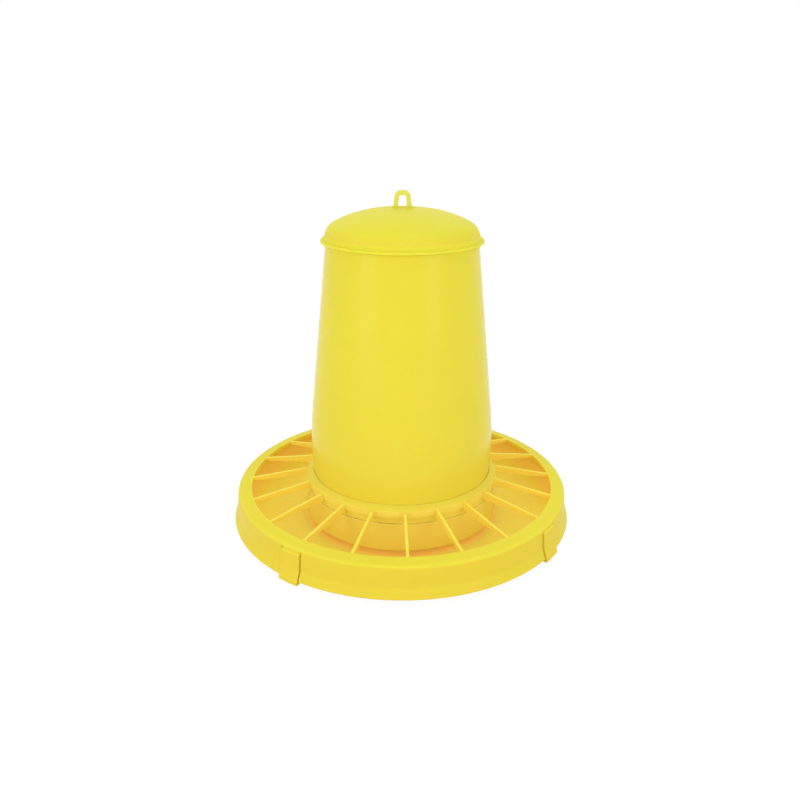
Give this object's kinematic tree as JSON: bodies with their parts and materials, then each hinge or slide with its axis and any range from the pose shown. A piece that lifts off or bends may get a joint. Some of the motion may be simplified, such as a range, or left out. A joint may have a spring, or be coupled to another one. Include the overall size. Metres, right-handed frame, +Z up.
{
  "type": "hopper feeder",
  "caption": "Plastic poultry hopper feeder: lidded conical hopper in a round pan, with a finned divider ring and a hanging loop.",
  "frame": {"origin": "on the ground under the centre of the pan, on the hopper's axis", "axes": "+Z up along the hopper's axis; the hanging loop's broad face looks along Y, and the front is -Y"},
  "size_m": [0.3814, 0.3814, 0.3622],
  "materials": {
    "pan_plastic": "moulded polypropylene, satin gloss",
    "ring_plastic": "moulded polypropylene, satin gloss",
    "hopper_plastic": "moulded polypropylene, satin gloss",
    "lid_plastic": "moulded polypropylene, satin gloss",
    "hanger_plastic": "moulded polypropylene, satin gloss"
  },
  "bodies": {
    "root": {"feed_pan": "pan_plastic", "divider_ring": "ring_plastic", "hopper": "hopper_plastic", "hanger": "hanger_plastic", "lid": "lid_plastic"}
  },
  "joints": []
}
